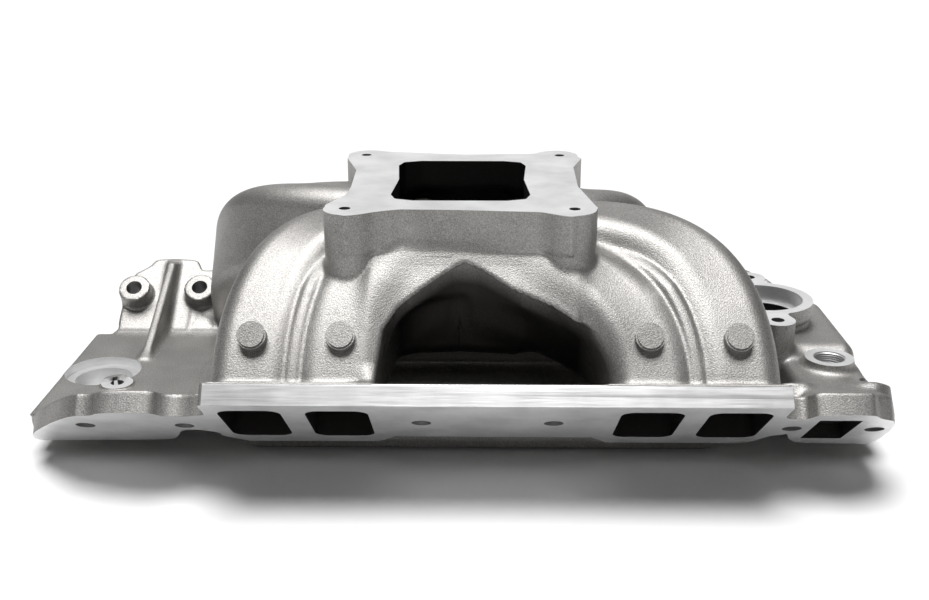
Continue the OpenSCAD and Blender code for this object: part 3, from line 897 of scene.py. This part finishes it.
def take_fittings(rest):
    """Thermostat flange, runner pads, and the outlet, vent, distributor and hold-down bosses."""
    # these two cells also hold a little of runner 2's wall
    take(rest, "thermostat_seat", plain_block((155, -56, -89), (228, 56, -70)), "thermostat_flange",
         slot=CUT_SLOT)
    take(rest, "thermostat_riser", plain_block((155, -56, -97), (228, 56, -88.9)))
    make_runner_pads()
    take(rest, "coolant_boss", post(COOLANT, -104, -80, 17), "coolant_outlet_boss")
    take(rest, "vent_boss", post(VENT, -94, -70, 14))
    take(rest, "distributor_seat", post(DISTRIBUTOR, -165, -125, 27), "distributor_pad", slot=CUT_SLOT)
    take(rest, "hold_down", post(HOLD_DOWN, -150, -120, 12.4), "hold_down_boss", slot=CUT_SLOT)


def make_runner_pads():
    """The round pad on each runner: a short rod with its outer edge rounded."""
    for x in PORTS:
        for bank in BANKS:
            top = Vector(turned_pt(face(x + PAD_SHIFT[x], -10.5, 40.6), bank))
            axis = Vector(turned_pt((0, -CA, SA), bank))
            bm = rod(top - 9 * axis, top, 8.2)
            rim = [e for e in bm.edges if e.is_manifold and e.calc_face_angle() > 1
                   and (e.verts[0].co / MM - top).dot(axis) > -1]
            bmesh.ops.bevel(bm, geom=rim, offset=0.0011, segments=4, affect="EDGES")
            me = bpy.data.meshes.new("pad")
            bm.to_mesh(me)
            bm.free()
            me.materials.append(FINISHES[AS_CAST])
            finish_piece(add_object("runner_pad_%d" % CYLINDERS[x][bank], me), ())


def take_head_faces(rest):
    """Each bank's port flange, its two ends and its two front bolt bosses."""
    for bank, side in enumerate(SIDES):
        take(rest, side + "_head_face", face_block(bank, (-141, -30, -20), (181, 95, CELL_T)),
             side + "_port_flange", slot=CUT_SLOT)
        ways = ("rear", "front") if bank == RIGHT else ("front", "rear")
        for way, (x0, x1) in zip(ways, ((-300, -141), (181, 300))):
            take(rest, side + "_" + way + "_end", face_block(bank, (x0, -30, -20), (x1, 95, CELL_T)),
                 side + "_" + way + "_flange_end")
        for (x, s), way in zip(BOLTS_FRONT, ("inner", "outer")):
            a, b = (turned_pt(face(x, s, t), bank) for t in (CELL_T, 27))
            take(rest, side + "_" + way + "_bolt_boss", rod(a, b, 14))


def take_floors(rest):
    """Decks with their rails, gusset rib, crossover and valley pan."""
    take(rest, "rear_floor", plain_block((-300, -80, LOW_Z), (PAN_X[0], 80, FLOOR_TOP)), "rear_deck",
         "rear_end_rail")
    take(rest, "rear_rib", plain_block((-300, 0, FLOOR_TOP), (-200, 140, -60)), "rear_gusset_rib")
    take(rest, "crossover", plain_block((181, -140, FLOOR_TOP), (300, 140, -60)), "water_crossover",
         "thermostat_neck")
    take(rest, "front_floor", plain_block((PAN_X[1], -80, LOW_Z), (300, 80, FLOOR_TOP)), "front_deck",
         "front_end_rail")
    take(rest, "valley_floor", plain_block((PAN_X[0], -78, LOW_Z), (PAN_X[1], 78, -128.5)), "valley_pan",
         "rear_pan_ramp", "front_pan_ramp")


def anticlockwise(plan):
    """The outline, reversed if it runs clockwise."""
    twice_area = sum(p[0] * q[1] - q[0] * p[1] for p, q in zip(plan, plan[1:] + plan[:1]))
    return plan if twice_area > 0 else plan[::-1]


def take_runners(rest):
    """Splits each pair of runners along the line half way between them."""
    for bank in BANKS:
        for outer, inner, way in ((PORTS[3], PORTS[2], 1), (PORTS[0], PORTS[1], -1)):
            mid = [m[0] for m in mid_path(runner_path(outer), runner_path(inner))[::6]]
            line = [(20, -21)] + [(m[0], m[1]) for m in mid] + [(mid[-1][0], -160)]
            outside = line + [(way * 300, -160), (way * 300, 0), (20, 0)]
            for x, plan in ((outer, outside), (inner, line + [(20, -160)])):
                plan = [turned_pt((*p, 0), bank)[:2] for p in anticlockwise(plan)]
                name = "runner_%d" % CYLINDERS[x][bank]
                nodes = [name]
                if x == outer:
                    end = FRONT_REAR[way if bank == RIGHT else -way]
                    nodes.append(SIDES[bank] + "_" + end + "_pair_rib")
                take(rest, name + "_cast", column(plan, LOW_Z, 20), *nodes)


solid, full, hollow = casting()
whole = mesh_of(solid)
for material in FINISHES:
    whole.materials.append(material)
rest = add_object("rest", whole)
for bm, finish in cutters():
    swap(rest, boolean(rest, bm, "DIFFERENCE", finish))
take_tower(rest)
take_fittings(rest)
take_head_faces(rest)
take_floors(rest)
take_runners(rest)
# what the cells above leave over is a speck
bpy.data.objects.remove(rest)

# ------------------------------------------------------------------ studio
FLOOR_SIZE, FLOOR_LEVEL = 400, -0.158
CAMERA_AT, CAMERA_AIM = (0.01083, -0.74167, 0.17623), (-0.01138, 0.94528, -0.32606)
scene = bpy.context.scene
bpy.ops.mesh.primitive_plane_add(size=FLOOR_SIZE, location=(0, 0, FLOOR_LEVEL))
floor = bpy.context.object
floor.name = "floor"
paint, _, paint_surface = blank_material("floor")
paint_surface.inputs["Base Color"].default_value = (0.8, 0.8, 0.8, 1)
paint_surface.inputs["Roughness"].default_value = 0.9
floor.data.materials.append(paint)
world = bpy.data.worlds.new("world")
scene.world = world
world.use_nodes = True
sky = world.node_tree.nodes["Background"]
sky.inputs["Color"].default_value = (1, 1, 1, 1)
sky.inputs["Strength"].default_value = 0.08


def aimed(direction):
    """The rotation that points a light or a camera along the direction."""
    return Vector(direction).to_track_quat("-Z", "Y").to_euler()


def sun(name, direction, power, spread):
    """A sun lamp whose disc is spread degrees wide."""
    lamp = bpy.data.lights.new(name, "SUN")
    lamp.energy = power
    lamp.angle = math.radians(spread)
    lamp_object = add_object(name, lamp)
    lamp_object.rotation_euler = aimed(direction)


def area(name, at, size, power, target=(0, 0, -0.08)):
    """A rectangular lamp at a place, turned to the target."""
    lamp = bpy.data.lights.new(name, "AREA")
    lamp.shape = "RECTANGLE"
    lamp.size, lamp.size_y = size
    lamp.energy = power
    lamp_object = add_object(name, lamp)
    lamp_object.location = at
    lamp_object.rotation_euler = aimed(Vector(target) - Vector(at))


sun("sky", (0.08, 0.06, -1.0), 3.9, 35)
area("back", (0.0, 2.6, 0.9), (3.4, 1.3), 9)
area("front", (0.0, -1.6, 0.5), (1.2, 0.5), 0.8)

cam_data = bpy.data.cameras.new("camera")
cam = add_object("camera", cam_data)
cam.location = CAMERA_AT
cam.rotation_euler = aimed(CAMERA_AIM)
cam_data.lens = 47.09
cam_data.sensor_width = 36
cam_data.clip_start = 0.01
scene.camera = cam
scene.view_settings.view_transform = "Standard"
scene.view_settings.look = "None"
